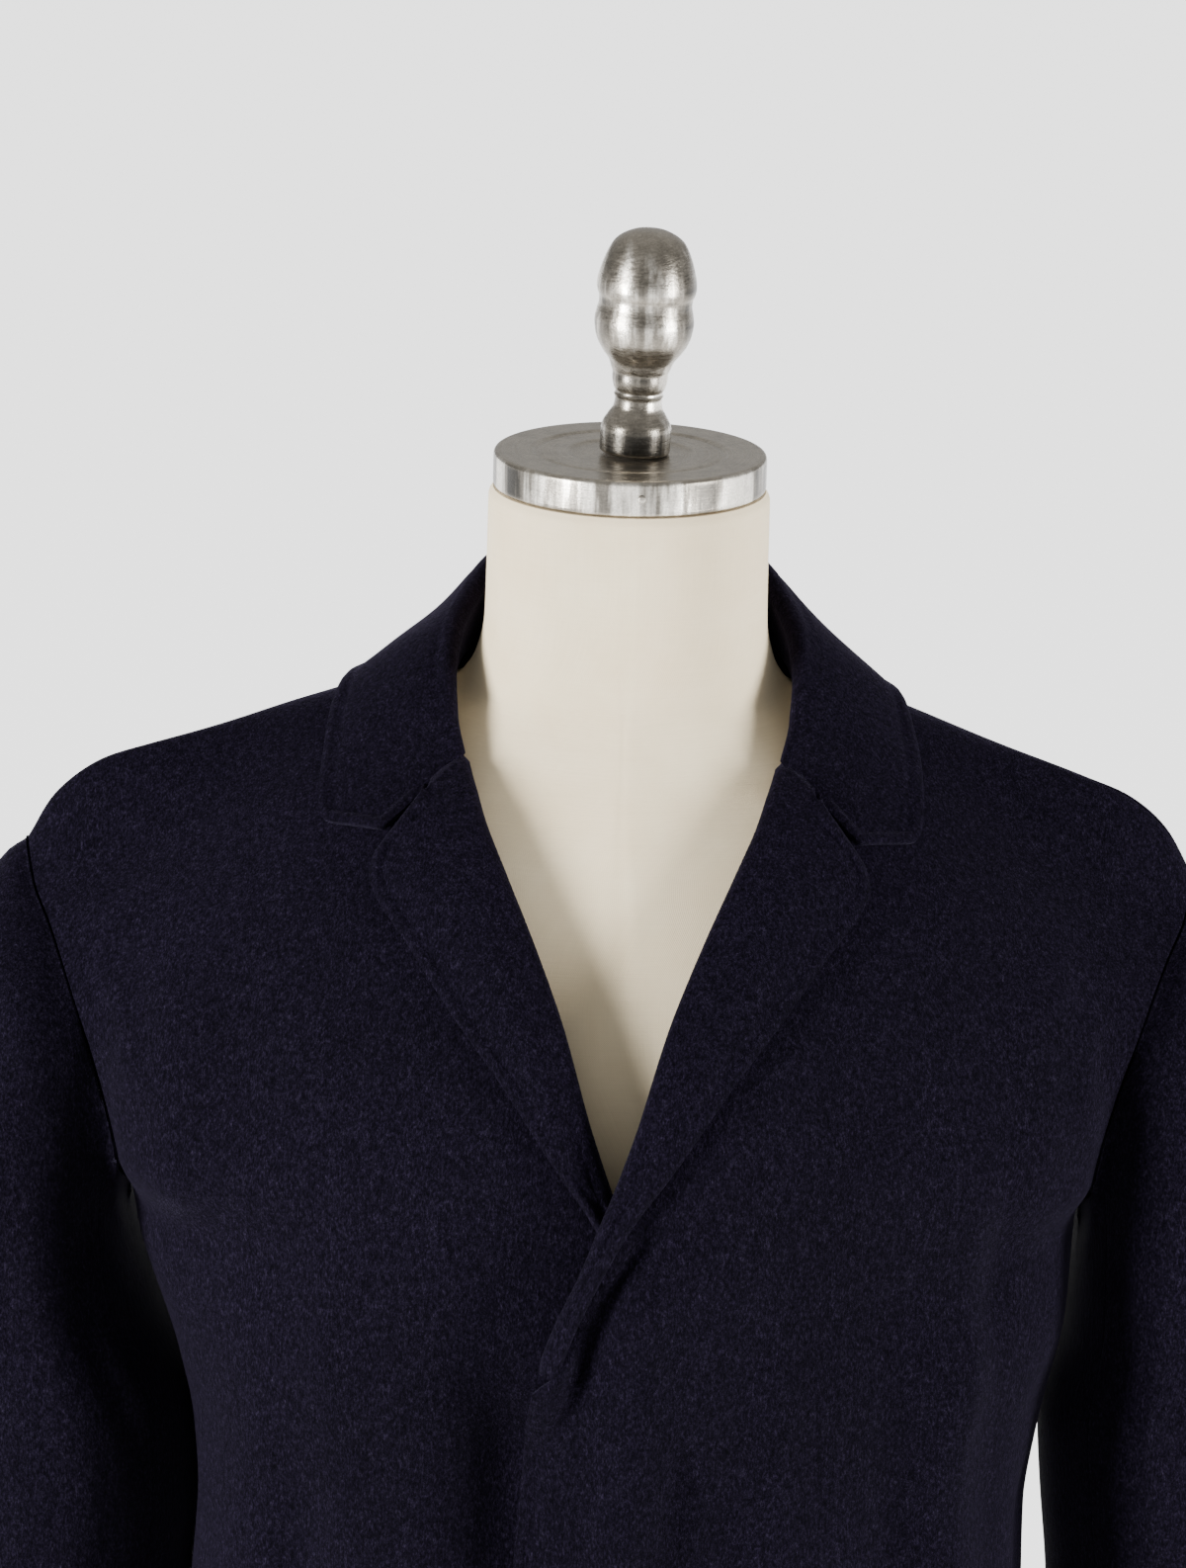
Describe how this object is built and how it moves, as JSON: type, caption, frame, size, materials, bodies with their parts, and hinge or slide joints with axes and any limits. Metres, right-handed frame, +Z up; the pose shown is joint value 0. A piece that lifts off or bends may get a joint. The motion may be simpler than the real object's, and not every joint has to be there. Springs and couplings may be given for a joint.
{
  "type": "wool overcoat on a dress form",
  "caption": "Knee-length single-breasted wool overcoat with notch lapels and a concealed front, worn by a limbless canvas dress form on a pole and round foot.",
  "frame": {"origin": "centre of the foot's flat underside, on the floor", "axes": "+Z up; the coat's front faces -Y; +X is the wearer's left"},
  "size_m": [0.657, 0.42, 1.6593],
  "materials": {
    "wool": "brushed wool fleece, dark navy",
    "canvas": "plain-woven cream linen canvas",
    "metal": "turned and brushed"
  },
  "bodies": {
    "root": {"coat_front_left": "wool", "coat_front_right": "wool", "coat_back": "wool", "sleeve_upper_left": "wool", "sleeve_under_left": "wool", "sleeve_upper_right": "wool", "sleeve_under_right": "wool", "lapel_left": "wool", "lapel_right": "wool", "collar": "wool", "form_body": "canvas", "form_cap": "metal", "form_knob": "metal", "form_cap_pin": "metal", "form_pole": "metal", "form_foot": "metal"}
  },
  "joints": []
}
